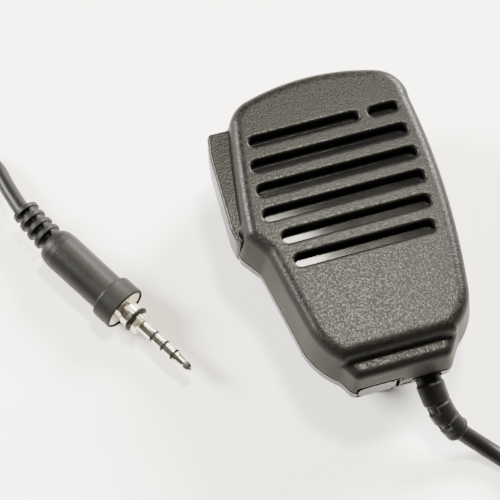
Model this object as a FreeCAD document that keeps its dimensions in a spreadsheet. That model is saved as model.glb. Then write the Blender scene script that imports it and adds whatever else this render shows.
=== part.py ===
"""Hand microphone with speaker, press-to-talk bar, belt clip and a lead ending in a 3.5 mm screw plug.

Frame: +Z up out of the speaker face, +Y towards the top of the microphone, +X to its right.
The origin lies on the belt clip's outer face, on which the microphone rests. Lengths are in mm.
"""

import FreeCAD, Part
import math
import os

import Sketcher
from FreeCAD import Placement, Rotation, Vector

DIMENSIONS = {
    # case
    "parting_z": 20.0,
    "face_z": 34.0,
    "back_z": 11.0,
    "seal_height": 0.4,
    "seal_inset": 0.5,
    "front_draft": 8.0,
    "rim_z": 16.2,
    "rear_draft": 22.0,
    "hollow_draft": 10.0,
    "case_wall": 2.2,
    "grille_thickness": 3.0,
    "face_round": 3.2,
    "back_round": 2.4,
    "chin_y": -38.2,
    "chin_z": 29.6,
    "top_radius": 62.0,
    "side_radius": 200.0,
    "shoulder_radius": 11.0,
    "lower_corner_radius": 16.0,
    "lower_left_radius": 20.0,
    "button_side_radius": 330.0,
    # grille
    "slot_width": 3.3,
    "narrow_slot_width": 2.7,
    "slot_pitch": 7.1,
    "lowest_slot_y": -9.6,
    "slot_lip": 0.55,
    # press-to-talk bar
    "bar_bottom_z": 14.6,
    "bar_top_z": 28.1,
    "window_gap": 0.35,
    "bar_pivot_x": -25.9,
    "bar_pivot_y": 4.0,
    "pin_radius": 0.75,
    "pin_clearance": 0.06,
    "switch_y": 14.0,
    "switch_z": 20.0,
    # speaker
    "speaker_x": 0.6,
    "speaker_y": 8.2,
    "speaker_radius": 18.0,
    # electronics
    "board_z": 15.0,
    "board_thickness": 1.2,
    # earphone jack
    "jack_x": -4.8,
    "jack_z": 18.8,
    "jack_bore_radius": 1.77,
    "jack_mouth_y": -42.2,
    "cover_length": 9.6,
    "cover_height": 6.2,
    "cover_thickness": 1.2,
    # screws
    "screw_radius": 1.1,
    "boss_radius": 2.9,
    # lead
    "lead_diameter": 4.7,
    "gland_x": 9.7,
    "gland_z": 16.5,
    "coil_x": -48.0,
    "coil_y": -92.0,
    "coil_radius": 24.0,
    # plug
    "plug_x": -82.5,
    "plug_y": 35.0,
    "plug_z": 6.6,
    "plug_angle": -59.3,
    "plug_radius": 1.75,
    # belt clip
    "swivel_y": 10.0,
    "clip_pin_y": 17.5,
    "clip_pin_z": 5.2,
    "clip_half_width": 10.2,
    "clip_jaw_y": -37.0,
    "clip_thumb_y": 30.0,
}

# The case outline at the parting plane, clockwise from the top left: x, y and, where the way to the next
# corner is an arc, the name of its radius.
CASE_OUTLINE = [
    (-18.0, 40.3, "top_radius"),
    (20.0, 40.5, "shoulder_radius"),
    (27.9, 28.5, "side_radius"),
    (25.9, -27.0, "lower_corner_radius"),
    (19.4, -38.0, None),
    (15.5, -44.0, None),
    (-10.8, -44.0, None),
    (-13.4, -39.6, "lower_left_radius"),
    (-20.3, -29.0, None),
    (-24.7, -5.6, None),
    (-28.9, 0.3, "button_side_radius"),
    (-23.9, 34.4, "shoulder_radius"),
]
CASE_CORNERS = []
for letter, (x, y, radius) in zip("abcdefghijkl", CASE_OUTLINE):
    DIMENSIONS[f"outline_{letter}_x"] = x
    DIMENSIONS[f"outline_{letter}_y"] = y
    CASE_CORNERS.append((f"outline_{letter}_x", f"outline_{letter}_y", radius))

document = FreeCAD.newDocument("hand_microphone")
sheet = document.addObject("Spreadsheet::Sheet", "dims")
for row, (alias, value) in enumerate(DIMENSIONS.items(), start=1):
    sheet.set(f"A{row}", alias)
    sheet.set(f"B{row}", str(value))
    sheet.setAlias(f"B{row}", alias)
document.recompute()

sub_parts = []


def size(alias):
    """The value of one cell of the sheet."""
    return float(sheet.get(alias))


def keep(item, label):
    """Names a finished sub-part, which is written to a file of that name."""
    item.Label = label
    sub_parts.append(item)
    return item


def bind(item, **expressions):
    """Binds properties to the sheet: bind(box, Length="case_wall * 2", x="jack_x")."""
    for name, expression in expressions.items():
        target = f".Placement.Base.{name}" if name in "xyz" else name
        text = str(expression)
        for alias in sorted(DIMENSIONS, key=len, reverse=True):
            text = text.replace(alias, f"@{list(DIMENSIONS).index(alias)}@")
        for index, alias in enumerate(DIMENSIONS):
            text = text.replace(f"@{index}@", f"dims.{alias}")
        item.setExpression(target, text)
    return item


def block(x, y, z, length, width, height):
    """A box from its lowest corner and its three lengths."""
    item = document.addObject("Part::Box", "block")
    return bind(item, Length=length, Width=width, Height=height, x=x, y=y, z=z)


AXES = {
    "z": Rotation(),
    "x": Rotation(Vector(0, 1, 0), 90),
    "y": Rotation(Vector(1, 0, 0), -90),
}


def rod(x, y, z, radius, length, axis="z"):
    """A cylinder that starts at a point and runs along a positive axis."""
    item = document.addObject("Part::Cylinder", "rod")
    item.Placement = Placement(Vector(), AXES[axis])
    return bind(item, Radius=radius, Height=length, x=x, y=y, z=z)


def cone(x, y, z, first_radius, last_radius, length, axis="z"):
    item = document.addObject("Part::Cone", "cone")
    item.Placement = Placement(Vector(), AXES[axis])
    return bind(item, Radius1=first_radius, Radius2=last_radius, Height=length, x=x, y=y, z=z)


def cut(base, *tools):
    """The base without the tools."""
    item = document.addObject("Part::Cut", "cut")
    item.Base = base
    item.Tool = tools[0] if len(tools) == 1 else fuse(*tools)
    return item


def fuse(*items):
    item = document.addObject("Part::MultiFuse", "fuse")
    item.Shapes = list(items)
    item.Refine = True
    return item


def common(*items):
    item = document.addObject("Part::MultiCommon", "common")
    item.Shapes = list(items)
    return item


def group(*items):
    """Separate solids that share one node."""
    item = document.addObject("Part::Compound", "group")
    item.Links = list(items)
    return item


def tube(x, y, z, outer, inner, length, axis="z"):
    return cut(rod(x, y, z, outer, length, axis), rod(x, y, z, inner, length, axis))


def rounded(base, *rules):
    """Rounds edges: each rule is a radius and a function that picks the edges to give it."""
    document.recompute()
    item = document.addObject("Part::Fillet", "rounded")
    item.Base = base
    item.Edges = [
        (number, radius, radius)
        for number, edge in enumerate(base.Shape.Edges, start=1)
        for radius, chosen in rules
        if chosen(edge)
    ]
    return item


def upright(*corners):
    """Picks the edges that run mostly along Z near one of the corners, or all of them if none is given."""

    def chosen(edge):
        ends = [v.Point for v in edge.Vertexes]
        if len(ends) != 2 or abs(ends[1].z - ends[0].z) < 0.8 * edge.Length:
            return False
        return not corners or any(math.dist(ends[0][:2], corner) < 3.2 for corner in corners)

    return chosen


def at_height(z):
    """Picks the edges that lie wholly at one height."""

    def chosen(edge):
        box = edge.BoundBox
        return abs(box.ZMin - z) < 1e-3 and abs(box.ZMax - z) < 1e-3

    return chosen


def outline(name, corners, height):
    """A closed sketch at a height, its corners listed clockwise.

    Each corner is (x, y, alias of the radius of the outward arc to the next corner, or None for a line);
    x and y are numbers or aliases.
    """
    sketch = document.addObject("Sketcher::SketchObject", name)
    bind(sketch, z=height)
    count = len(corners)
    places = [Vector(value_of(x), value_of(y), 0) for x, y, _ in corners]
    for index, (_, _, radius) in enumerate(corners):
        start = places[index]
        end = places[(index + 1) % count]
        sketch.addGeometry(arc_between(start, end, size(radius)) if radius else Part.LineSegment(start, end))
    for index, (x, y, radius) in enumerate(corners):
        following = (index + 1) % count
        first, last = (2, 1) if radius else (1, 2)
        next_first = 2 if corners[following][2] else 1
        sketch.addConstraint(Sketcher.Constraint("Coincident", index, last, following, next_first))
        for kind, coordinate in (("DistanceX", x), ("DistanceY", y)):
            distance = Sketcher.Constraint(kind, -1, 1, index, first, value_of(coordinate))
            number = sketch.addConstraint(distance)
            bind_constraint(sketch, number, coordinate)
        if radius:
            number = sketch.addConstraint(Sketcher.Constraint("Radius", index, size(radius)))
            bind_constraint(sketch, number, radius)
    return sketch


def value_of(coordinate):
    return size(coordinate) if isinstance(coordinate, str) else coordinate


def bind_constraint(sketch, number, alias):
    if isinstance(alias, str):
        bind(sketch, **{f"Constraints[{number}]": alias})


def arc_between(start, end, radius):
    """The arc that bulges to the left of the way from start to end. A sketch stores it from end to start."""
    chord = end - start
    to_centre = math.sqrt(radius**2 - chord.Length**2 / 4)
    centre = (start + end) / 2 + Vector(chord.y, -chord.x, 0).normalize() * to_centre
    first = math.atan2(end.y - centre.y, end.x - centre.x)
    last = math.atan2(start.y - centre.y, start.x - centre.x)
    if last < first:
        last += 2 * math.pi
    return Part.ArcOfCircle(Part.Circle(centre, Vector(0, 0, 1), radius), first, last)


def inset(sketch, distance):
    """A sketch's outline moved inwards."""
    item = document.addObject("Part::Offset2D", "inset")
    item.Source = sketch
    item.Join = "Tangent"
    return bind(item, Value=f"-({distance})")


def drafted(name, corners, first_z, first_inset, last_z, last_inset):
    """A solid between two heights, whose outline is moved inwards by an amount at each."""
    sections = []
    for height, distance in ((first_z, first_inset), (last_z, last_inset)):
        section = outline(f"{name}_section", corners, height)
        sections.append(inset(section, distance) if distance else section)
    item = document.addObject("Part::Loft", name)
    item.Sections = sections
    item.Solid = True
    item.Ruled = True
    return item


def prism(name, points, height, low_z):
    """An upright prism on a polygon, which is listed clockwise."""
    sketch = outline(f"{name}_outline", [(x, y, None) for x, y in points], low_z)
    item = document.addObject("Part::Extrusion", name)
    item.Base = sketch
    item.DirMode = "Custom"
    item.Dir = Vector(0, 0, 1)
    item.Solid = True
    return bind(item, LengthFwd=height)


def slot(first_x, last_x, y, width):
    """A round-ended opening through the grille, measured over its ends."""
    low = "face_z - 8"
    first_centre = f"{first_x} + {width} / 2"
    last_centre = f"{last_x} - {width} / 2"
    middle = block(first_centre, f"{y} - {width} / 2", low, f"{last_x - first_x} - {width}", width, 20)
    ends = [rod(x, y, low, f"{width} / 2", 20) for x in (first_centre, last_centre)]
    return fuse(middle, *ends)


def turned(label, profile):
    """A plug piece turned about the plug's axis, from a profile of (place along the axis, radius)."""
    body = document.addObject("PartDesign::Body", label)
    plane = next(f for f in body.Origin.OriginFeatures if f.Role == "XY_Plane")
    sketch = body.newObject("Sketcher::SketchObject", f"{label}_profile")
    sketch.AttachmentSupport = [(plane, "")]
    sketch.MapMode = "FlatFace"
    count = len(profile)
    for index, (along, radius) in enumerate(profile):
        start = Vector(along, radius, 0)
        sketch.addGeometry(Part.LineSegment(start, Vector(*profile[(index + 1) % count], 0)))
    for index, (along, radius) in enumerate(profile):
        sketch.addConstraint(Sketcher.Constraint("Coincident", index, 2, (index + 1) % count, 1))
        sketch.addConstraint(Sketcher.Constraint("DistanceX", -1, 1, index, 1, along))
        sketch.addConstraint(Sketcher.Constraint("DistanceY", -1, 1, index, 1, radius))
    turning = body.newObject("PartDesign::Revolution", f"{label}_turning")
    turning.Profile = sketch
    turning.ReferenceAxis = (sketch, ["H_Axis"])
    turning.Angle = 360
    place_on_plug(body)
    return keep(body, label)


def place_on_plug(item, along=0.0):
    """Puts an item on the plug's axis, so many mm from the start of its boot."""
    angle = math.radians(size("plug_angle"))
    start = Vector(size("plug_x"), size("plug_y"), size("plug_z"))
    offset = Vector(math.cos(angle), math.sin(angle), 0) * along
    item.Placement = Placement(start + offset, Rotation(Vector(0, 0, 1), size("plug_angle")))
    bind(item, z="plug_z")


def lead_tube(label, route):
    """A tube along straight runs joined by tangent arcs, each as large as its two runs allow."""
    points = [Vector(*point) for point in route]
    edges = []
    at = points[0]
    length = 0.0
    for before, corner, after in zip(points, points[1:], points[2:]):
        back = (before - corner).normalize()
        ahead = (after - corner).normalize()
        half_turn = (math.pi - back.getAngle(ahead)) / 2
        run = 0.45 * min((before - corner).Length, (after - corner).Length)
        radius = run / math.tan(half_turn)
        first = corner + back * run
        last = corner + ahead * run
        inward = (back + ahead).normalize()
        middle = corner + inward * (radius / math.cos(half_turn) - radius)
        edges.append(Part.LineSegment(at, first).toShape())
        edges.append(Part.Arc(first, middle, last).toShape())
        length += (first - at).Length + edges[-1].Length
        turn = math.degrees(2 * half_turn)
        print(f"{label}: run {(corner - before).Length:.1f}, turn {turn:.0f}, radius {radius:.1f}")
        at = last
    edges.append(Part.LineSegment(at, points[-1]).toShape())
    length += (points[-1] - at).Length
    start_direction = points[1] - points[0]
    radius = size("lead_diameter") / 2
    section = Part.Wire(Part.makeCircle(radius, points[0], start_direction))
    shape = Part.Wire(edges).makePipeShell([section], True, True)
    expected = math.pi * radius**2 * length
    print(f"{label}: {length:.1f} mm long, volume {shape.Volume:.1f} against {expected:.1f}")
    item = document.addObject("Part::Feature", label)
    item.Shape = shape
    return keep(item, label)


SCREW_PLACES = [(-14.5, 34.8), (14.5, 35.2), (-11.5, -33.5), (17.0, -33.5)]
STANDOFF_PLACES = [(-10.0, -24.0), (15.0, -24.0), (15.0, 25.0), (-11.0, 25.0)]
SLOT_ROWS = [(-17.0, 20.8), (-18.3, 22.0), (-21.3, 22.7), (-20.9, 22.8), (-20.5, 22.4)]
NARROW_SLOTS = [(-19.1, 11.1), (13.9, 22.0)]
NOTCH_CORNERS = [(-24.7, -5.6), (-28.9, 0.3)]
FOOT_CORNERS = [(15.5, -44.0), (-10.8, -44.0)]


def window():
    """The space that the press-to-talk bar's opening takes out of the case."""
    height = "bar_top_z - bar_bottom_z + 2 * window_gap"
    return block(-45, 1.45, "bar_bottom_z - window_gap", 25.5, 32.75, height)


def pivot_pin():
    return rod("bar_pivot_x", "bar_pivot_y", 12.4, "pin_radius", 17.6)


def foot_openings():
    """The recess of the jack cover, the holes of the jack and the gland, and the cover anchor's seat."""
    recess = block("jack_x - 5.1", -60, "jack_z - 3.45", 12.1, "60 + jack_mouth_y", 6.9)
    anchor_seat = block("jack_x + 6.4", -60, "jack_z - 1.6", 3.4, "60 + jack_mouth_y", 3.2)
    jack_hole = rod("jack_x", -60, "jack_z", 2.9, 22, "y")
    gland_hole = rod("gland_x", -60, "gland_z", 3.65, 22, "y")
    return [recess, anchor_seat, jack_hole, gland_hole]


def front_cover():
    """The front half: a drafted shell with a stepped foot, the grille, screw bosses and the bar's window."""
    rise = "(face_z - parting_z) * tan(front_draft)"
    body = drafted("front_body", CASE_CORNERS, "parting_z", None, "face_z", rise)
    body = cut(body, block(-45, -60, "chin_z", 90, "60 + chin_y", 20))
    body = rounded(body, (size("face_round"), at_height(size("face_z"))), (3.0, upright(*NOTCH_CORNERS)))
    body = cut(body, block(-45, -60, 0, 90, 21.8, 60))
    chin_rise = "(chin_z - parting_z) * tan(front_draft)"
    chin = drafted("chin_body", CASE_CORNERS, "parting_z", None, "chin_z", chin_rise)
    chin = rounded(chin, (2.2, at_height(size("chin_z"))), (2.4, upright(*FOOT_CORNERS)))
    chin = common(chin, block(-45, -60, "parting_z", 90, 23.5, 20))
    body = fuse(body, chin)

    inner_rise = "case_wall + (face_z - grille_thickness - parting_z) * tan(front_draft)"
    inner_top = "face_z - grille_thickness"
    hollow = drafted("front_hollow", CASE_CORNERS, "parting_z - 0.5", "case_wall", inner_top, inner_rise)
    hollow = cut(hollow, block(-45, -60, "chin_z - 2.2", 90, "60 + chin_y + 2.2", 20))
    bosses = [rod(x, y, 20.2, "boss_radius", 11.5) for x, y in SCREW_PLACES]
    bosses += [rod("speaker_x", f"speaker_y + {side}", 28.35, 2.2, 3) for side in (22.6, -22.8)]
    bosses.append(rod("bar_pivot_x", "bar_pivot_y", 27.5, 2.0, 3.2))
    body = fuse(cut(body, hollow), *bosses)

    slots = [
        slot(first, last, f"(lowest_slot_y + {row} * slot_pitch)", "slot_width")
        for row, (first, last) in enumerate(SLOT_ROWS)
    ]
    top_row = "(lowest_slot_y + 5 * slot_pitch)"
    slots += [slot(first, last, top_row, "narrow_slot_width") for first, last in NARROW_SLOTS]
    body = cut(body, *slots)
    low_y = size("lowest_slot_y") - 4
    face_edge = at_height(size("face_z"))
    body = rounded(body, (size("slot_lip"), lambda e: face_edge(e) and in_grille(e, low_y)))

    holes = [rod(x, y, 20, 1.9, 5.8) for x, y in SCREW_PLACES]
    holes += [rod("speaker_x", f"speaker_y + {side}", 28, 0.8, 2.6) for side in (22.6, -22.8)]
    return keep(cut(body, window(), pivot_pin(), *foot_openings(), *holes), "front_cover")


def in_grille(edge, low_y):
    """True for an edge within the field of the slots."""
    box = edge.BoundBox
    return box.YMin > low_y and box.YMax < 28.6 and box.XMin > -23.4 and box.XMax < 24.8


def rear_cover():
    """The rear half: an upright rim over a drafted tray, with screw columns, posts and the clip's boss."""
    rim = drafted("rear_rim", CASE_CORNERS, "parting_z - seal_height", None, "rim_z", None)
    tray = drafted("rear_tray", CASE_CORNERS, "rim_z", None, "back_z", "(rim_z - back_z) * tan(rear_draft)")
    corners = upright(*NOTCH_CORNERS, *FOOT_CORNERS)
    body = rounded(fuse(rim, tray), (size("back_round"), at_height(size("back_z"))), (2.6, corners))
    inner_lean = "case_wall + (parting_z - seal_height - back_z - 2) * tan(hollow_draft)"
    hollow = drafted("rear_hollow", CASE_CORNERS, "parting_z + 0.5", "case_wall", "back_z + 2", inner_lean)
    columns = [rod(x, y, 12.5, "boss_radius", 7.1) for x, y in SCREW_PLACES]
    posts = [rod(x, y, 12.5, 2.2, "board_z - 12.5") for x, y in STANDOFF_PLACES]
    bosses = [rod(0, "swivel_y", 12.5, 3.6, 2.2), rod("bar_pivot_x", "bar_pivot_y", 12.0, 2.0, 3.0)]
    body = fuse(cut(body, hollow), *columns, *posts, *bosses)
    holes = [rod(x, y, 10, 1.2, 12) for x, y in SCREW_PLACES]
    holes += [rod(x, y, 10, 2.3, 3.2) for x, y in SCREW_PLACES]
    holes += [rod(x, y, 13.2, 0.9, 4) for x, y in STANDOFF_PLACES]
    holes += [rod(0, "swivel_y", 10, 1.5, 6), rod("gland_x - 3.7", -36.4, 12.2, 0.6, 2)]
    return keep(cut(body, window(), pivot_pin(), *foot_openings(), *holes), "rear_cover")


def cover_seal():
    """The cord of rubber in the joint of the two covers."""
    low = "parting_z - seal_height"
    outer = drafted("seal_outer", CASE_CORNERS, low, "seal_inset", "parting_z", "seal_inset")
    inner = drafted("seal_inner", CASE_CORNERS, low, "case_wall - 0.3", "parting_z", "case_wall - 0.3")
    keep(cut(outer, inner, window(), *foot_openings()), "cover_seal")


def case_fasteners():
    screws = [
        fuse(cut(rod(x, y, 11.4, 2.1, 1.8), cross_slot(x, y, 11.4)), rod(x, y, 13.2, "screw_radius", 11.8))
        for x, y in SCREW_PLACES
    ]
    keep(group(*screws), "case_screws")
    inserts = [tube(x, y, 20.6, 1.9, "screw_radius", 5.0) for x, y in SCREW_PLACES]
    keep(group(*inserts), "screw_inserts")


def cross_slot(x, y, low_z, reach=1.3, depth=1.0):
    """The cross recess of a screw head that faces down."""
    width = 0.5
    first = block(x - reach, y - width / 2, low_z, 2 * reach, width, depth)
    second = block(x - width / 2, y - reach, low_z, width, 2 * reach, depth)
    return fuse(first, second)


def talk_bar():
    """The press-to-talk bar: a hollow wedge that pivots at its foot, with a rib that works the switch."""
    height = "bar_top_z - bar_bottom_z"
    outer_corners = [
        (-28.8, 33.8),
        (-22.2, 33.8),
        (-24.6, 12.0),
        (-24.1, 5.5),
        (-24.4, 1.8),
        (-29.2, 1.8),
        (-29.9, 6.0),
        (-29.8, 15.0),
        (-29.7, 27.0),
    ]
    outer = prism("bar_outer", outer_corners, height, "bar_bottom_z")
    faces = (size("bar_bottom_z"), size("bar_top_z"))

    def outside(edge):
        box = edge.BoundBox
        return any(at_height(z)(edge) for z in faces) and box.XMax < -25 and box.XMin < -28.6

    outer = rounded(outer, (0.9, outside), (1.4, upright((-28.8, 33.8), (-29.2, 1.8))))
    hollow_corners = [(-27.5, 32.5), (-20, 32.5), (-22.5, 7.5), (-28.6, 7.5), (-28.5, 15.0), (-28.3, 27.0)]
    hollow = prism("bar_hollow", hollow_corners, f"{height} - 2.6", "bar_bottom_z + 1.3")
    rib = block(-28.7, "switch_y - 0.8", "switch_z - 3.5", 4.35, 1.6, 7)
    pin_hole = rod("bar_pivot_x", "bar_pivot_y", 10, "pin_radius + pin_clearance", 25)
    keep(cut(fuse(cut(outer, hollow), rib), pin_hole), "talk_bar")
    keep(pivot_pin(), "talk_bar_pin")


def talk_switch():
    body = block(-21.3, "switch_y - 3", "board_z + board_thickness", 5.8, 6, 6.2)
    keep(cut(body, rod(-22, "switch_y", "switch_z", 1.26, 2.1, "x")), "talk_switch")
    keep(rod(-24.05, "switch_y", "switch_z", 1.2, 3.5, "x"), "switch_plunger")


def speaker():
    """The loudspeaker behind the grille, and the film, gasket and ring that hold it there."""
    x, y = "speaker_x", "speaker_y"
    film_corners = [(-20.9, 28.0), (23.2, 28.0), (23.9, 20.0), (23.9, -12.0), (-19.3, -12.0), (-23.4, 8.0)]
    keep(prism("film", film_corners, 0.45, "face_z - grille_thickness - 0.45"), "grille_film")
    keep(tube(x, y, 29.75, 17.8, 15.6, 0.8), "speaker_gasket")
    outside = fuse(rod(x, y, 28.35, "speaker_radius", 1.4), cone(x, y, 24.4, 10.5, 17.3, 3.95))
    inside = fuse(rod(x, y, 28.95, 16.2, 2), cone(x, y, 25.2, 9.3, 16.2, 3.75))
    keep(cut(outside, inside), "speaker_frame")
    keep(rod(x, y, 20.4, 9.5, 4.0), "speaker_magnet")
    paper = cut(cone(x, y, 25.8, 4.0, 15.9, 3.4), cone(x, y, 26.2, 3.6, 15.9, 3.4))
    keep(fuse(paper, rod(x, y, 25.7, 4.4, 0.9)), "speaker_cone")
    ring = tube(x, y, 27.2, 19.6, 17.7, 1.15)
    ears = [
        block("speaker_x - 2.4", "speaker_y + 18.9", 27.2, 4.8, 6.1, 1.15),
        block("speaker_x - 2.4", "speaker_y - 25.2", 27.2, 4.8, 6.3, 1.15),
    ]
    holes = [rod(x, f"speaker_y + {side}", 27, 0.9, 2) for side in (22.6, -22.8)]
    keep(cut(fuse(ring, *ears), *holes), "speaker_ring")
    screws = [
        fuse(rod(x, f"speaker_y + {side}", 26.1, 1.8, 1.1), rod(x, f"speaker_y + {side}", 27.2, 0.8, 3.2))
        for side in (22.6, -22.8)
    ]
    keep(group(*screws), "speaker_screws")


def microphone_capsule():
    """The electret capsule in its rubber boot, behind the short slot."""
    x, y = 18.2, 25.9
    keep(cut(rod(x, y, 26.6, 4.4, 3.95), rod(x, y, 27.6, 3.0, 4)), "capsule_boot")
    keep(rod(x, y, 27.6, 3.0, 2.7), "mic_capsule")


def electronics():
    board_corners = [
        (-15.2, 30.0),
        (19.5, 30.0),
        (19.5, -29.4),
        (-1.2, -29.4),
        (-1.2, -40.4),
        (-8.4, -40.4),
        (-8.4, -29.4),
        (-15.2, -29.4),
        (-15.2, 8.0),
        (-21.5, 8.0),
        (-21.5, 20.0),
        (-15.2, 20.0),
    ]
    board = prism("board", board_corners, "board_thickness", "board_z")
    holes = [rod(x, y, 14, 1.0, 4) for x, y in STANDOFF_PLACES]
    keep(cut(board, *holes), "circuit_board")
    top = "board_z + board_thickness"
    chips = [
        (-6.0, -14.0, 7.0, 7.0, 1.2),
        (6.0, -16.0, 5.0, 4.0, 1.6),
        (-12.5, 1.0, 4.0, 6.0, 1.4),
        (6.5, 17.5, 6.0, 4.0, 1.8),
        (-4.0, 20.0, 3.2, 2.6, 1.1),
        (13.0, -8.0, 2.4, 5.0, 2.2),
        (-12.0, -12.0, 2.0, 3.2, 1.0),
    ]
    keep(group(*[block(x, y, top, long, wide, tall) for x, y, long, wide, tall in chips]), "board_components")
    keep(cut(block(6.2, -26.0, top, 7.0, 4.4, 3.4), block(7.0, -25.2, 17.4, 5.4, 2.8, 4)), "board_connector")
    screws = [fuse(rod(x, y, top, 1.8, 1.1), rod(x, y, 13.4, 0.9, 2.8)) for x, y in STANDOFF_PLACES]
    keep(group(*screws), "board_screws")


def earphone_jack():
    """The jack in the foot, its bush, and the hinged cover over it."""
    x, z = "jack_x", "jack_z"
    body = block("jack_x - 3", "jack_mouth_y + 1.3", "board_z + board_thickness", 6, 13.6, 5.2)
    keep(cut(body, rod(x, "jack_mouth_y - 1", z, "jack_bore_radius", 14.2, "y")), "earphone_jack")
    keep(tube(x, "jack_mouth_y", z, 2.9, "jack_bore_radius", 1.3, "y"), "jack_bush")

    low_z = "jack_z - cover_height / 2"
    hinge_x = "jack_x + 5.2"
    hinge_y = "jack_mouth_y - 0.9"
    length = "cover_length - 0.6"
    plate = block("jack_x - 4.8", "jack_mouth_y - 1.5", low_z, length, "cover_thickness", "cover_height")

    def free_end(edge):
        box = edge.BoundBox
        return box.XMax < size("jack_x") - 4.7 and box.YLength > 1 and box.ZLength < 0.01

    plate = rounded(plate, (2.2, free_end))
    web = block("jack_x + 3.4", "jack_mouth_y - 1.5", "jack_z - 2.4", 1.8, "cover_thickness", 4.8)
    knuckle = rod(hinge_x, hinge_y, "jack_z - 2.4", 0.6, 4.8)
    keep(cut(fuse(plate, web, knuckle), rod(hinge_x, hinge_y, 10, 0.34, 16)), "jack_cover")
    keep(rod(hinge_x, hinge_y, "jack_z - 3.3", 0.3, 6.6), "jack_cover_pin")

    anchor = [
        block("jack_x + 6.4", "jack_mouth_y - 1.6", "jack_z - 1.6", 3.4, 1.6, 3.2),
        block("jack_x + 6.4", "jack_mouth_y - 1.5", "jack_z - 3.3", 0.5, 1.5, 6.6),
    ]
    for arm_z in ("jack_z - 3.3", "jack_z + 2.7"):
        anchor.append(block(hinge_x, "jack_mouth_y - 1.5", arm_z, 1.4, "cover_thickness", 0.6))
        anchor.append(rod(hinge_x, hinge_y, arm_z, 0.6, 0.6))
    keep(cut(fuse(*anchor), rod(hinge_x, hinge_y, 10, 0.3, 16)), "jack_cover_anchor")


def gland_arc():
    """The three control points of the gland's curve, from the case down to the surface."""
    start = Vector(size("gland_x"), -44.2, size("gland_z"))
    return start, Vector(9.6, -53.2, 12.0), Vector(14.6, -57.3, 7.5)


def gland_section(share, radius):
    """A circle across the gland's curve, at a share of its length."""
    start, middle, end = gland_arc()
    place = start * (1 - share) ** 2 + middle * (2 * share * (1 - share)) + end * share**2
    direction = (middle - start) * (1 - share) + (end - middle) * share
    return Part.Wire(Part.makeCircle(radius, place, direction))


def strain_relief():
    """The lead's bent rubber gland: a flange inside the foot, a neck and three tapered segments."""
    segments = [(0.0, 0.30, 3.9, 3.75), (0.37, 0.64, 3.6, 3.45), (0.71, 1.0, 3.3, 2.95)]
    core = Part.makeLoft([gland_section(share / 6, 2.7) for share in range(7)], True)
    shape = core
    for first, last, first_radius, last_radius in segments:
        middle = (first + last) / 2
        sections = [
            gland_section(first, first_radius),
            gland_section(middle, (first_radius + last_radius) / 2),
            gland_section(last, last_radius),
        ]
        shape = shape.fuse(Part.makeLoft(sections, True))
    x, z = size("gland_x"), size("gland_z")
    neck = Part.makeCylinder(3.6, 4.2, Vector(x, -44.4, z), Vector(0, 1, 0))
    flange = Part.makeBox(9.0, 1.5, 7.4, Vector(x - 4.5, -40.5, 13.1))
    item = document.addObject("Part::Feature", "strain_relief")
    item.Shape = shape.fuse(neck).fuse(flange).removeSplitter()
    keep(item, "strain_relief")


def lead_fittings():
    """What holds and joins the lead inside the case."""
    radius = "lead_diameter / 2"
    keep(rod("gland_x", -39.0, "gland_z", radius, 6.0, "y"), "lead_end")
    saddle = block("gland_x - 4.7", -38.0, "back_z + 2", 8.9, 3.2, 7.0)
    holes = fuse(rod("gland_x", -40, "gland_z", radius, 8, "y"), rod("gland_x - 3.7", -36.4, 10, 0.6, 12))
    keep(cut(saddle, holes), "lead_clamp")
    screw = fuse(rod("gland_x - 3.7", -36.4, 20.0, 1.0, 0.8), rod("gland_x - 3.7", -36.4, 12.4, 0.6, 7.6))
    keep(screw, "lead_clamp_screw")
    shifts = (-1.5, -0.5, 0.5, 1.5)
    wires = [rod(f"gland_x + {shift}", -33.0, "gland_z + 1.1", 0.42, 7.0, "y") for shift in shifts]
    keep(group(*wires), "lead_wires")


def lead():
    """The free lead: out of the gland, a put-away coil, and round to the plug."""
    level = size("lead_diameter") / 2
    out_route = [
        tuple(gland_arc()[2]),
        (20.2, -61.8, level + 0.2),
        (28.1, -70.9, level),
        (29.8, -83.2, level),
        (24.3, -95.0, level),
        (11.6, -102.9, level),
        (-9.9, -107.5, level),
        (-40.0, -115.6, level),
    ]
    lead_tube("lead_out", out_route)
    coil_reach = size("lead_diameter")
    ring = tube("coil_x", "coil_y", 0, f"coil_radius + {coil_reach}", f"coil_radius - {coil_reach}", 9.4)
    keep(ring, "lead_coil")
    in_route = [
        (-54.0, -115.6, level),
        (-76.0, -112.5, level),
        (-97.0, -98.0, level),
        (-111.0, -73.0, level),
        (-118.5, -44.0, level),
        (-121.5, -14.0, level),
        (-122.5, 12.0, level),
        (-121.1, 36.1, level),
        (-118.5, 50.9, level),
        (-112.2, 59.3, level),
        (-103.1, 62.6, level),
        (-93.6, 60.4, level),
        (-86.9, 53.4, 3.2),
        (-84.9, 43.2, 5.0),
        (-82.2, 34.2, 6.6),
    ]
    lead_tube("lead_in", in_route)


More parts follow.
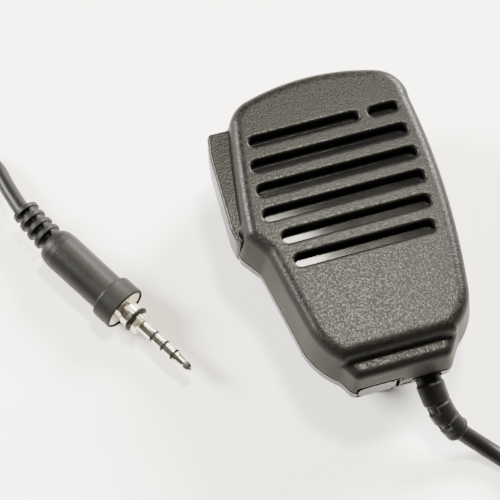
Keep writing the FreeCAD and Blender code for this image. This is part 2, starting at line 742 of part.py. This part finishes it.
def plug():
    """The screw plug: a ribbed boot, a moulded body with a collar, and a threaded four-contact pin."""
    ribs = []
    for number in range(4):
        start = 3.1 * number
        radius = 3.55 + 0.2 * number
        ribs += [(start, radius), (start + 2.1, radius + 0.1), (start + 2.1, 2.9), (start + 3.1, 2.9)]
    turned("plug_boot", [(0, 0)] + ribs[:-1] + [(12.5, 2.9), (12.5, 0)])
    dome = [(12.5, 4.0), (12.9, 4.6), (13.7, 5.1), (15.0, 5.45), (17.0, 5.6)]
    collar = [(34.8, 5.45), (35.2, 6.45), (35.6, 6.6), (40.9, 6.6), (41.2, 6.3), (41.2, 5.9), (40.5, 5.9)]
    turned("plug_body", [(12.5, 0)] + dome + collar + [(40.5, 0)])
    turned("plug_end_ring", [(40.5, 2.6), (40.5, 5.9), (40.9, 5.9), (40.9, 2.6)])
    thread = []
    for number in range(4):
        start = 46.1 + 0.45 * number
        thread += [(start, 2.85), (start + 0.22, 3.15)]
    neck = [(40.5, 0), (40.5, 2.6), (42.2, 2.6), (42.2, 3.3), (44.4, 3.3), (44.4, 2.8), (46.0, 2.8)]
    turned("plug_thread_sleeve", neck + thread + [(47.9, 2.85), (47.9, 0)])
    ring = document.addObject("Part::Torus", "plug_oring_torus")
    bind(ring, Radius1=3.35, Radius2=0.55)
    place_on_plug(ring, 45.2)
    ring.Placement.Rotation = ring.Placement.Rotation.multiply(Rotation(Vector(0, 1, 0), 90))
    keep(ring, "plug_oring")
    pin_radius = size("plug_radius")
    turned("plug_sleeve_contact", [(47.9, 0), (47.9, pin_radius), (52.0, pin_radius), (52.0, 0)])
    tip = [(60.3, 0), (60.3, pin_radius), (61.2, pin_radius), (61.5, 1.45)]
    tip += [(63.4, 1.2), (63.9, 1.5), (64.8, 1.55)]
    turned("plug_tip", tip + [(65.6, 1.1), (66.1, 0.5), (66.1, 0)])
    contacts = [plug_disc(52.8, 55.9), plug_disc(56.7, 59.5)]
    keep(group(*contacts), "plug_ring_contacts")
    insulators = [plug_disc(52.0, 52.8), plug_disc(55.9, 56.7), plug_disc(59.5, 60.3)]
    keep(group(*insulators), "plug_insulators")


def plug_disc(first, last):
    """A disc of the contact pin, between two places along the plug's axis."""
    disc = document.addObject("Part::Cylinder", "disc")
    bind(disc, Radius="plug_radius", Height=last - first)
    place_on_plug(disc, first)
    disc.Placement.Rotation = disc.Placement.Rotation.multiply(Rotation(Vector(0, 1, 0), 90))
    return disc


def clip_base():
    """The clip's turning half: a plate with two ears under the case, its washer and its pivot screw."""
    plate = block(-10, -4, 8.2, 20, 30, 2.4)
    plate = rounded(plate, (4, upright((-10, -4), (10, -4), (-10, 26), (10, 26))))
    ears = []
    for x in (-8.0, 6.2):
        ears.append(block(x, "clip_pin_y - 2.2", "clip_pin_z", 1.8, 4.4, 3.1))
        ears.append(rod(x, "clip_pin_y", "clip_pin_z", 2.2, 1.8, "x"))
    holes = [rod(-11, "clip_pin_y", "clip_pin_z", 1.05, 22, "x"), rod(0, "swivel_y", 7, 1.56, 5)]
    keep(cut(fuse(plate, *ears), *holes), "clip_base")
    keep(tube(0, "swivel_y", 10.62, 9.0, 1.56, 0.35), "clip_washer")
    head = cut(rod(0, "swivel_y", 6.6, 3.3, 1.55), cross_slot(0, size("swivel_y"), 6.6, 1.9, 1.0))
    keep(fuse(head, rod(0, "swivel_y", 8.1, 1.5, 6.2)), "clip_pivot_screw")


def clip_arm():
    """The clip's sprung half, whose flat outer face lies on the surface."""
    width = "2 * clip_half_width"
    plate = block("-clip_half_width", "clip_jaw_y", 0, width, "clip_thumb_y - clip_jaw_y", 2.2)
    half = size("clip_half_width")
    ends = [(side * half, y) for side in (-1, 1) for y in (size("clip_jaw_y"), size("clip_thumb_y"))]
    plate = rounded(plate, (4.5, upright(*ends)))
    lip = block(-7, "clip_jaw_y + 0.4", 1.5, 14, 2.6, 9.0)
    lip = rounded(lip, (0.9, lambda e: abs(e.BoundBox.ZMin - 10.5) < 0.01 and e.BoundBox.XLength > 5))
    ears = []
    for x in (-10.2, 8.4):
        ears.append(block(x, "clip_pin_y - 2.2", 1.5, 1.8, 4.4, "clip_pin_z - 1.5"))
        ears.append(rod(x, "clip_pin_y", "clip_pin_z", 2.2, 1.8, "x"))
    ridges = [block(-6.5, f"clip_thumb_y - {3 + 2 * number}", 2.0, 13, 0.9, 0.75) for number in range(4)]
    body = fuse(plate, lip, *ears, *ridges)
    keep(cut(body, rod(-11, "clip_pin_y", "clip_pin_z", 1.0, 22, "x")), "clip_arm")
    keep(rod(-10.3, "clip_pin_y", "clip_pin_z", 1.0, 20.6, "x"), "clip_pin")


def clip_spring():
    """The torsion spring round the clip's pin, with one leg to each half."""
    turn_radius = 1.75
    pitch = 0.86
    steps = 12
    turns = 6
    low = -turns * pitch / 2
    points = [Vector(low, -2.6, -turn_radius), Vector(low, -1.2, -turn_radius)]
    for step in range(turns * steps + 1):
        angle = 2 * math.pi * step / steps
        along = low + pitch * step / steps
        points.append(Vector(along, turn_radius * math.sin(angle), -turn_radius * math.cos(angle)))
    points += [Vector(-low, 1.2, -turn_radius), Vector(-low, 2.6, -turn_radius)]
    curve = Part.BSplineCurve()
    curve.interpolate(points)
    section = Part.Wire(Part.makeCircle(0.35, points[0], Vector(0, 1, 0)))
    item = document.addObject("Part::Feature", "clip_spring")
    item.Shape = Part.Wire(curve.toShape()).makePipeShell([section], True, True)
    item.Placement = Placement(Vector(0, size("clip_pin_y"), size("clip_pin_z")), Rotation())
    keep(item, "clip_spring")


def check_and_write():
    """Stops on any object or shape that isn't sound, and writes every sub-part to its own file."""
    document.recompute()
    for item in document.Objects:
        if any(state in item.State for state in ("Invalid", "Error")):
            raise RuntimeError(f"{item.Name} ({item.Label}) didn't compute: {item.State}")
    os.makedirs("parts", exist_ok=True)
    for item in sub_parts:
        shape = item.Shape
        if shape.isNull() or not shape.isValid() or not shape.Solids:
            raise RuntimeError(f"{item.Label} has no sound shape")
        box = shape.BoundBox
        spans = [f"{low:.1f}..{high:.1f}" for low, high in zip(
            (box.XMin, box.YMin, box.ZMin), (box.XMax, box.YMax, box.ZMax))]
        print(f"{item.Label}: {len(shape.Solids)} solid(s), volume {shape.Volume:.1f}, " + ", ".join(spans))
        shape.exportStep(f"parts/{item.Label}.step")
    print(len(sub_parts), "sub-parts")


front_cover()
rear_cover()
cover_seal()
case_fasteners()
talk_bar()
talk_switch()
speaker()
microphone_capsule()
electronics()
earphone_jack()
strain_relief()
lead_fittings()
lead()
plug()
clip_base()
clip_arm()
clip_spring()
check_and_write()
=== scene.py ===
"""Looks of the hand microphone: camera, light, floor, lead and a material for every piece.

Lengths are in metres, in the CAD's own frame: +Z out of the speaker face, +Y towards the top of the case.
"""

import math

import bpy
from mathutils import Matrix, Vector


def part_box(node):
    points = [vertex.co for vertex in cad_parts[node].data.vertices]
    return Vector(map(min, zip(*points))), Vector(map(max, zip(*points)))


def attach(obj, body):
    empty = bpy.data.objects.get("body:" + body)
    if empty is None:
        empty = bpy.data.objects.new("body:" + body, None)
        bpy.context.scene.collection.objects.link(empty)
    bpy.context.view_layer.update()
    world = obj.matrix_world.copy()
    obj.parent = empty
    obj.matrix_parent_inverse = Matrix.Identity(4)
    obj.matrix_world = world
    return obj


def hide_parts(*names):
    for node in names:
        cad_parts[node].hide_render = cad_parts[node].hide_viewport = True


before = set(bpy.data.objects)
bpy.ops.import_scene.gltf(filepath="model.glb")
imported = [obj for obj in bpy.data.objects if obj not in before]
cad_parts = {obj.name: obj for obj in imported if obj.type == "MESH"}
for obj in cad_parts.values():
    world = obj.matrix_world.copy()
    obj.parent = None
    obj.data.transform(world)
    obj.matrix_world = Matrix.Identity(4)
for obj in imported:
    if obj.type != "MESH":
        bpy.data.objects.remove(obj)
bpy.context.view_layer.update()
MM = 0.001


# ---------------------------------------------------------------- camera, light and floor


def add_camera():
    """A long lens above the foot of the microphone, a little to its left."""
    azimuth, elevation = math.radians(-15.8), math.radians(68.0)
    right = Vector((math.cos(azimuth), math.sin(azimuth), 0))
    back = Vector((
        math.sin(azimuth) * math.cos(elevation),
        -math.cos(azimuth) * math.cos(elevation),
        math.sin(elevation),
    ))
    up = back.cross(right)
    data = bpy.data.cameras.new("camera")
    data.sensor_width = 36
    data.lens = 115.8
    data.clip_start = 0.01
    camera = bpy.data.objects.new("camera", data)
    bpy.context.scene.collection.objects.link(camera)
    place = Vector((-69.34, -152.36, 416.91)) * MM
    camera.matrix_world = Matrix.Translation(place) @ Matrix((right, up, back)).transposed().to_4x4()
    bpy.context.scene.camera = camera


def add_light(name, place, target, size, power, colour):
    """A round soft light. Its size is its diameter, and it faces the target."""
    data = bpy.data.lights.new(name, "AREA")
    data.shape = "DISK"
    data.size = size
    data.energy = power
    data.color = colour
    light = bpy.data.objects.new(name, data)
    bpy.context.scene.collection.objects.link(light)
    light.location = place
    light.rotation_euler = (Vector(target) - Vector(place)).to_track_quat("-Z", "Y").to_euler()


def add_studio():
    """Two small warm lights over the face, two large ones from the sides, a dim world and a pale floor."""
    add_light("key", (0.030, 0.145, 0.450), (-0.02, -0.01, 0.03), 0.05, 0.3, (1.0, 0.95, 0.84))
    add_light("sheen", (0.056, 0.098, 0.450), (-0.01, -0.03, 0.03), 0.06, 3.9, (1.0, 0.94, 0.80))
    add_light("top", (2.0, 1.5, 1.5), (0, 0, 0), 1.1, 540.0, (1.0, 0.98, 0.935))
    add_light("side", (-2.1, 1.2, 1.5), (0, 0, 0), 1.1, 420.0, (1.0, 0.985, 0.95))
    world = bpy.data.worlds.new("studio")
    world.use_nodes = True
    background = world.node_tree.nodes["Background"]
    background.inputs["Color"].default_value = (1.0, 0.985, 0.96, 1)
    background.inputs["Strength"].default_value = 0.12
    bpy.context.scene.world = world
    mesh = bpy.data.meshes.new("floor")
    reach = 3.0
    corners = [(-reach, -reach, 0), (reach, -reach, 0), (reach, reach, 0), (-reach, reach, 0)]
    mesh.from_pydata(corners, [], [(0, 1, 2, 3)])
    floor = bpy.data.objects.new("floor", mesh)
    bpy.context.scene.collection.objects.link(floor)
    floor.data.materials.append(moulded("floor_paper", (0.86, 0.84, 0.79), 0.9, 0.01, (0.6, 0.75), 0.01))


# ---------------------------------------------------------------- materials


def node(tree, kind, **values):
    """A shader node with some of its properties or input values set."""
    item = tree.nodes.new(kind)
    for name, value in values.items():
        if name in item.inputs:
            item.inputs[name].default_value = value
        else:
            setattr(item, name, value)
    return item


def ramp(tree, source, first, last, low=0.3, high=0.7):
    """A colour ramp from one grey or colour to another, driven by a texture."""
    item = tree.nodes.new("ShaderNodeValToRGB")
    item.color_ramp.elements[0].position = low
    item.color_ramp.elements[1].position = high
    item.color_ramp.elements[0].color = as_colour(first)
    item.color_ramp.elements[1].color = as_colour(last)
    tree.links.new(source, item.inputs["Fac"])
    return item.outputs["Color"]


def as_colour(value):
    """A colour with alpha, from three channels or from one grey."""
    return (*value, 1) if hasattr(value, "__len__") else (value, value, value, 1)


def start_material(name, metallic=0.0, specular=0.5):
    """A new material, with its node tree, its shader and the metric coordinates of its textures."""
    material = bpy.data.materials.new(name)
    material.use_nodes = True
    tree = material.node_tree
    shader = tree.nodes["Principled BSDF"]
    shader.inputs["Metallic"].default_value = metallic
    shader.inputs["Specular IOR Level"].default_value = specular
    place = tree.nodes.new("ShaderNodeTexCoord").outputs["Object"]
    return material, tree, shader, place


def add_bump(tree, shader, height, depth, strength=1.0, under=None):
    """Lays a height map of a depth in mm over the shader's normal, or over a bump that is there already."""
    bump = node(tree, "ShaderNodeBump", Strength=strength, Distance=depth * MM)
    tree.links.new(height, bump.inputs["Height"])
    if under:
        tree.links.new(under, bump.inputs["Normal"])
    tree.links.new(bump.outputs["Normal"], shader.inputs["Normal"])
    return bump.outputs["Normal"]


def moulded(name, colour, grain, depth, roughness, shade, specular=0.5):
    """Moulded plastic or rubber: pebbles over a finer grain, sized in mm, with cloudy colour and gloss."""
    material, tree, shader, place = start_material(name, specular=specular)
    clouds = node(tree, "ShaderNodeTexNoise", Scale=45.0, Detail=6.0, Roughness=0.6)
    pebbles = node(tree, "ShaderNodeTexVoronoi", feature="SMOOTH_F1", Scale=1000 / grain, Smoothness=0.6)
    fine = node(tree, "ShaderNodeTexNoise", Scale=2500 / grain, Detail=3.0)
    for texture in (clouds, pebbles, fine):
        tree.links.new(place, texture.inputs["Vector"])
    dark = [channel * (1 - shade) for channel in colour]
    light = [channel * (1 + shade) for channel in colour]
    tree.links.new(ramp(tree, clouds.outputs["Fac"], dark, light), shader.inputs["Base Color"])
    tree.links.new(ramp(tree, clouds.outputs["Fac"], roughness[0], roughness[1]), shader.inputs["Roughness"])
    under = add_bump(tree, shader, fine.outputs["Fac"], depth * 0.4, 0.5)
    add_bump(tree, shader, pebbles.outputs["Distance"], depth, 1.0, under)
    return material


def grained_face(name):
    """The front cover's plastic, one colour all over: grained on the face, smoother down its sides."""
    material, tree, shader, place = start_material(name, specular=0.14)
    clouds = node(tree, "ShaderNodeTexNoise", Scale=38.0, Detail=5.0, Roughness=0.55)
    pebbles = node(tree, "ShaderNodeTexVoronoi", feature="SMOOTH_F1", Scale=1900.0, Smoothness=0.4)
    grain = node(tree, "ShaderNodeTexNoise", Scale=1700.0, Detail=2.0, Roughness=0.6)
    for texture in (clouds, pebbles, grain):
        tree.links.new(place, texture.inputs["Vector"])
    colour = ramp(tree, clouds.outputs["Fac"], (0.0030, 0.0028, 0.0022), (0.0042, 0.0039, 0.0031))
    tree.links.new(colour, shader.inputs["Base Color"])
    geometry = tree.nodes.new("ShaderNodeNewGeometry")
    split = tree.nodes.new("ShaderNodeSeparateXYZ")
    tree.links.new(geometry.outputs["Normal"], split.inputs["Vector"])
    on_face = node(tree, "ShaderNodeMapRange", interpolation_type="SMOOTHSTEP")
    on_face.inputs["From Min"].default_value = 0.55
    on_face.inputs["From Max"].default_value = 0.97
    tree.links.new(split.outputs["Z"], on_face.inputs["Value"])
    smooth = ramp(tree, clouds.outputs["Fac"], 0.46, 0.56)
    rough = ramp(tree, grain.outputs["Fac"], 0.30, 0.50, 0.4, 0.6)
    tree.links.new(blended(tree, on_face.outputs["Result"], smooth, rough), shader.inputs["Roughness"])
    under = add_bump(tree, shader, grain.outputs["Fac"], 0.09, 0.6)
    add_bump(tree, shader, pebbles.outputs["Distance"], 0.05, 0.6, under)
    return material


def blended(tree, share, first, last):
    """A mix of two colours or greys, by a share from 0 to 1."""
    item = node(tree, "ShaderNodeMix", data_type="RGBA")
    tree.links.new(share, item.inputs["Factor"])
    tree.links.new(first, item.inputs[6])
    tree.links.new(last, item.inputs[7])
    return item.outputs[2]


def metal(name, colour, roughness, along=(1, 1, 1), shade=0.12):
    """Plated or bare metal with fine drawn or turned marks, stretched along an axis."""
    material, tree, shader, place = start_material(name, metallic=1.0)
    mapping = tree.nodes.new("ShaderNodeMapping")
    mapping.inputs["Scale"].default_value = along
    tree.links.new(place, mapping.inputs["Vector"])
    marks = node(tree, "ShaderNodeTexNoise", Scale=900.0, Detail=4.0, Roughness=0.7)
    tree.links.new(mapping.outputs["Vector"], marks.inputs["Vector"])
    dark = [channel * (1 - shade) for channel in colour]
    light = [min(1, channel * (1 + shade)) for channel in colour]
    tree.links.new(ramp(tree, marks.outputs["Fac"], dark, light), shader.inputs["Base Color"])
    tree.links.new(ramp(tree, marks.outputs["Fac"], roughness[0], roughness[1]), shader.inputs["Roughness"])
    add_bump(tree, shader, marks.outputs["Fac"], 0.004, 0.6)
    return material


def dress(material, *names):
    """Gives CAD nodes a material."""
    for name in names:
        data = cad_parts[name].data
        data.materials.clear()
        data.materials.append(material)


# Each moulding: colour, grain and its depth in mm, roughness, shade, specular level, and the CAD nodes it dresses.
MOULDINGS = {
    "rear_plastic": ((0.014, 0.0135, 0.0115), 0.5, 0.02, (0.30, 0.42), 0.15, 0.35, ["rear_cover"]),
    "bar_plastic": ((0.0036, 0.0034, 0.0028), 0.5, 0.05, (0.30, 0.44), 0.2, 0.16, ["talk_bar"]),
    "clip_plastic": ((0.014, 0.014, 0.013), 0.6, 0.03, (0.40, 0.55), 0.2, 0.5, ["clip_arm", "clip_base"]),
    "plug_plastic": ((0.0036, 0.0034, 0.0027), 0.35, 0.05, (0.38, 0.54), 0.25, 0.14, ["plug_body"]),
    "rubber": (
        (0.0030, 0.0029, 0.0025), 0.4, 0.02, (0.38, 0.52), 0.2, 0.16,
        ["plug_boot", "strain_relief", "cover_seal", "speaker_gasket", "capsule_boot"],
    ),
    "flap_rubber": ((0.004, 0.004, 0.0036), 0.5, 0.02, (0.16, 0.24), 0.2, 0.2, ["jack_cover"]),
    "anchor_rubber": ((0.03, 0.029, 0.026), 0.4, 0.02, (0.45, 0.6), 0.2, 0.3, ["jack_cover_anchor"]),
    "o_ring_rubber": ((0.003, 0.003, 0.003), 0.3, 0.01, (0.25, 0.35), 0.1, 0.12, ["plug_oring"]),
    "lead_jacket": ((0.0036, 0.0034, 0.0028), 0.5, 0.02, (0.34, 0.46), 0.2, 0.15, ["lead_end"]),
    "film": ((0.004, 0.004, 0.004), 9.0, 0.006, (0.06, 0.10), 0.1, 0.7, ["grille_film"]),
    "paper_cone": ((0.03, 0.03, 0.03), 0.3, 0.05, (0.75, 0.9), 0.3, 0.5, ["speaker_cone"]),
    "small_plastic": (
        (0.004, 0.004, 0.004), 0.4, 0.02, (0.35, 0.5), 0.2, 0.15,
        ["earphone_jack", "talk_switch", "switch_plunger", "board_connector", "board_components",
         "lead_clamp", "plug_insulators"],
    ),
    "laminate": ((0.03, 0.20, 0.08), 1.0, 0.01, (0.3, 0.4), 0.1, 0.5, ["circuit_board"]),
    "wire_red": ((0.45, 0.04, 0.03), 0.5, 0.01, (0.3, 0.4), 0.1, 0.5, ["lead_wires"]),
    "tie_tape": ((0.006, 0.006, 0.0065), 0.3, 0.12, (0.8, 0.95), 0.3, 0.1, []),
}
# Each metal: colour, roughness, stretch of its marks, shade, and the CAD nodes it dresses.
METALS = {
    "speaker_steel": ((0.42, 0.42, 0.43), (0.3, 0.45), (1, 1, 1), 0.12, ["speaker_frame", "speaker_magnet"]),
    "steel": (
        (0.55, 0.55, 0.54), (0.2, 0.36), (1, 1, 6), 0.12,
        ["case_screws", "talk_bar_pin", "jack_cover_pin", "speaker_screws", "speaker_ring", "board_screws",
         "lead_clamp_screw", "clip_pin", "clip_pivot_screw", "clip_spring", "clip_washer", "mic_capsule"],
    ),
    "insert_brass": ((0.75, 0.56, 0.28), (0.25, 0.4), (1, 1, 1), 0.12, ["screw_inserts"]),
    "bush_nickel": ((0.7, 0.69, 0.66), (0.12, 0.25), (1, 1, 1), 0.12, ["jack_bush"]),
    "plug_plating": (
        (0.80, 0.76, 0.62), (0.14, 0.28), (1, 1, 4), 0.25,
        ["plug_thread_sleeve", "plug_end_ring"],
    ),
    "contact_gold": (
        (0.74, 0.70, 0.58), (0.08, 0.2), (1, 1, 4), 0.2,
        ["plug_sleeve_contact", "plug_ring_contacts", "plug_tip"],
    ),
}


def dress_nodes():
    """Gives every CAD node its finish, and returns the finishes by name."""
    finishes = {"front_plastic": grained_face("front_plastic")}
    dress(finishes["front_plastic"], "front_cover")
    for table, make in ((MOULDINGS, moulded), (METALS, metal)):
        for name, (*look, nodes) in table.items():
            finishes[name] = make(name, *look)
            dress(finishes[name], *nodes)
    return finishes


# ---------------------------------------------------------------- softened mouldings and ribbed rubber


def add_mesh(name, mesh, material, body):
    """Links a finished mesh as a piece that rides on a body."""
    item = bpy.data.objects.new(name, mesh)
    bpy.context.scene.collection.objects.link(item)
    item.data.materials.clear()
    item.data.materials.append(material)
    for polygon in item.data.polygons:
        polygon.use_smooth = True
    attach(item, body)
    return item


def soften(name, source, material, body, voxel=0.34, rounds=10):
    """A moulding remeshed from its CAD shape, with edges and inner corners rounded as a mould leaves them."""
    copy = bpy.data.objects.new(f"{name}_work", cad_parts[source].data.copy())
    bpy.context.scene.collection.objects.link(copy)
    remesh = copy.modifiers.new("remesh", "REMESH")
    remesh.mode = "VOXEL"
    remesh.voxel_size = voxel * MM
    smooth = copy.modifiers.new("smooth", "SMOOTH")
    smooth.factor = 0.5
    smooth.iterations = rounds
    graph = bpy.context.evaluated_depsgraph_get()
    mesh = bpy.data.meshes.new_from_object(copy.evaluated_get(graph))
    bpy.data.objects.remove(copy)
    piece = add_mesh(name, mesh, material, body)
    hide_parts(source)
    return piece


def ribbed_tube(name, line, radius_at, material, steps=150, around=72):
    """A closed rubber tube along a curved line, whose radius varies along it and round it."""
    vertices = []
    for step in range(steps + 1):
        share = step / steps
        centre, direction = line(share)
        side = direction.cross(Vector((0, 0, 1))).normalized()
        over = side.cross(direction).normalized()
        for number in range(around):
            angle = 2 * math.pi * number / around
            radius = radius_at(share, angle)
            vertices.append((centre + (side * math.cos(angle) + over * math.sin(angle)) * radius) * MM)
    faces = []
    for step in range(steps):
        for number in range(around):
            following = (number + 1) % around
            first, last = step * around, (step + 1) * around
            faces.append((first + number, first + following, last + following, last + number))
    for step, turn in ((0, 1), (steps, -1)):
        centre, _ = line(step / steps)
        vertices.append(centre * MM)
        hub = len(vertices) - 1
        for number in range(around):
            pair = (step * around + number, step * around + (number + 1) % around)
            faces.append((hub, *pair[::-turn]))
    mesh = bpy.data.meshes.new(name)
    mesh.from_pydata([tuple(vertex) for vertex in vertices], [], faces)
    mesh.update()
    return add_mesh(name, mesh, material, "case")


def ramped(value, low, high):
    """0 below low, 1 above high, smooth between."""
    share = min(1.0, max(0.0, (value - low) / (high - low)))
    return share * share * (3 - 2 * share)


def near_angle(angle, centre, half_width, soft=0.18):
    """1 within an angle's half width, fading to 0 beyond it."""
    away = abs((angle - centre + math.pi) % (2 * math.pi) - math.pi)
    return 1 - ramped(away, half_width, half_width + soft)


def gland_line(share):
    """Place and direction on the gland's curve, from inside the foot's wall to the start of the lead's route."""
    low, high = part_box("lead_end")
    start = Vector(((low.x + high.x) / 2, low.y - 2.2 * MM, (low.z + high.z) / 2)) / MM
    middle = start + Vector((-0.1, -12.0, -4.5))
    end = Vector(OUT_ROUTE[0])
    place = start * (1 - share) ** 2 + middle * (2 * share * (1 - share)) + end * share**2
    direction = (middle - start) * (1 - share) + (end - middle) * share
    return place, direction.normalized()


def gland_radius(share, angle):
    """A neck through the wall, then three collars parted by grooves and side windows, with a rolled end."""
    radius = 3.5 + 0.4 * ramped(share, 0.14, 0.18) - 0.55 * share
    for place in (0.42, 0.68):
        edge = ramped(abs(share - place), 0.008, 0.020)
        radius -= 0.45 * (1 - edge)
        window = place + 0.06
        inside = 1 - ramped(abs(share - window), 0.035, 0.05)
        radius -= 0.95 * inside * near_angle(angle, math.radians(15), math.radians(42))
    radius += 0.18 * ramped(share, 0.88, 0.93)
    return radius - 0.5 * ramped(share, 0.965, 1.0)


BOOT_LENGTH = 12.7
BOOT_BEND = 1.15
BOOT_PITCH = 3.1
BOOT_CORE = 2.75
END_RING_FROM_BOOT = 40.7


def box_middle(name):
    """The middle of a CAD node's box, in mm."""
    low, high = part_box(name)
    return Vector(((low.x + high.x) / 2, (low.y + high.y) / 2, (low.z + high.z) / 2)) / MM


def plug_axis():
    """Start of the plug's boot and the direction to its tip, from the CAD pieces' boxes."""
    ring = box_middle("plug_end_ring")
    direction = (box_middle("plug_tip") - ring).normalized()
    return ring - direction * END_RING_FROM_BOOT, direction


def boot_line(share):
    """The boot's line: the plug's axis, bent a little towards the lead at its free end."""
    start, direction = plug_axis()
    side = direction.cross(Vector((0, 0, 1))).normalized()
    bend = BOOT_BEND * (1 - share) ** 2
    slope = 2 * BOOT_BEND * (1 - share) / BOOT_LENGTH
    place = start + direction * (BOOT_LENGTH * share) - side * bend
    return place, (direction + side * slope).normalized()


def boot_radius(share, angle):
    """Four rings joined by two webs, with a thin core in the gaps between."""
    along = BOOT_LENGTH * share
    outer = 3.85 + 0.035 * along
    place = along % BOOT_PITCH
    on_ring = ramped(place, 0.0, 0.28) * (1 - ramped(place, 1.45, 1.75))
    web = max(near_angle(angle, math.radians(side), math.radians(13)) for side in (118, 298))
    core = BOOT_CORE + (outer - 0.45 - BOOT_CORE) * web
    return core + (outer - core) * on_ring


# ---------------------------------------------------------------- lead

LEAD = 4.7
LEVEL = LEAD / 2
COIL_CENTRE = (-48.0, -92.0)
OUT_ROUTE = [
    (14.6, -57.3, 7.5),
    (20.2, -61.8, LEVEL + 0.2),
    (28.1, -70.9, LEVEL),
    (29.8, -83.2, LEVEL),
    (24.3, -95.0, LEVEL),
    (11.6, -102.9, LEVEL),
    (-9.9, -109.5, LEVEL),
    (-30.0, -115.4, LEVEL),
]
IN_ROUTE = [
    (-62.0, -119.0, 7.0),
    (-76.0, -113.5, 4.0),
    (-97.0, -98.0, LEVEL),
    (-111.0, -73.0, LEVEL),
    (-118.5, -44.0, LEVEL),
    (-121.5, -14.0, LEVEL),
    (-122.5, 12.0, LEVEL),
    (-121.1, 36.1, LEVEL),
    (-118.5, 50.9, LEVEL),
    (-112.2, 59.3, LEVEL),
    (-103.1, 62.6, LEVEL),
    (-93.6, 60.4, LEVEL),
    (-86.2, 53.8, 3.2),
    (-84.3, 43.5, 5.0),
    (-81.6, 34.9, 6.6),
]


def coil_turns():
    """Four turns wound clockwise: the outer and inner ones of the lower layer, then of the upper one."""
    points = []
    steps = 16
    radii = [26.6, 21.9, 21.9, 26.6]
    layers = [LEVEL, LEVEL, LEVEL + LEAD, LEVEL + LEAD]
    for number in range(4 * steps + 1):
        turn = number / steps
        angle = math.radians(-78) - 2 * math.pi * turn
        radius = stepped(radii, turn)
        height = stepped(layers, turn)
        points.append((
            COIL_CENTRE[0] + radius * math.cos(angle),
            COIL_CENTRE[1] + radius * math.sin(angle),
            height,
        ))
    return points


def stepped(values, turn):
    """A value that holds for a turn and slides to the next over the last fifth of it."""
    index = min(int(turn), len(values) - 1)
    following = min(index + 1, len(values) - 1)
    share = max(0.0, (turn - index - 0.8) / 0.2) if turn < len(values) else 0.0
    return values[index] + (values[following] - values[index]) * min(1.0, share)


def add_tie(material):
    """A strap of soft tape round the coil's four turns, away from where the lead comes and goes."""
    angle = math.radians(140)
    outward = Vector((math.cos(angle), math.sin(angle), 0))
    along = Vector((-math.sin(angle), math.cos(angle), 0))
    centre = Vector((*COIL_CENTRE, LEAD)) + outward * 23.9
    steps = 64
    corners = ((5.15, 4.7, -4.0), (5.15, 4.7, 4.0), (4.75, 4.4, 4.0), (4.75, 4.4, -4.0))
    vertices = []
    for step in range(steps):
        turn = 2 * math.pi * step / steps
        across = math.copysign(abs(math.cos(turn)) ** 0.5, math.cos(turn))
        upward = math.copysign(abs(math.sin(turn)) ** 0.5, math.sin(turn))
        for half_width, half_height, shift in corners:
            place = centre + outward * (across * half_width) + along * shift
            place.z += upward * half_height
            vertices.append(tuple(place * MM))
    faces = []
    for step in range(steps):
        first, last = step * 4, (step + 1) % steps * 4
        for side in range(4):
            following = (side + 1) % 4
            faces.append((first + side, first + following, last + following, last + side))
    mesh = bpy.data.meshes.new("coil_tie")
    mesh.from_pydata(vertices, [], faces)
    mesh.update()
    return add_mesh("coil_tie", mesh, material, "case")


def add_lead(material, tie):
    """The free lead as one smooth tube: out of the gland, round the coil and on to the plug."""
    data = bpy.data.curves.new("lead", "CURVE")
    data.dimensions = "3D"
    data.bevel_depth = LEAD / 2 * MM
    data.bevel_resolution = 8
    data.resolution_u = 12
    data.use_fill_caps = True
    spline = data.splines.new("NURBS")
    points = OUT_ROUTE + coil_turns() + IN_ROUTE
    spline.points.add(len(points) - 1)
    for point, place in zip(spline.points, points):
        point.co = (place[0] * MM, place[1] * MM, place[2] * MM, 1)
    spline.order_u = 3
    spline.use_endpoint_u = True
    lead = bpy.data.objects.new("lead", data)
    bpy.context.scene.collection.objects.link(lead)
    data.materials.append(material)
    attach(lead, "case")
    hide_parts("lead_out", "lead_coil", "lead_in")
    return lead


add_camera()
add_studio()
finishes = dress_nodes()
soften("front_shell", "front_cover", finishes["front_plastic"], "case")
gland = ribbed_tube("gland", gland_line, gland_radius, finishes["rubber"])
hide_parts("strain_relief")
boot = ribbed_tube("boot", boot_line, boot_radius, finishes["rubber"])
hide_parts("plug_boot")
add_lead(finishes["lead_jacket"], add_tie(finishes["tie_tape"]))
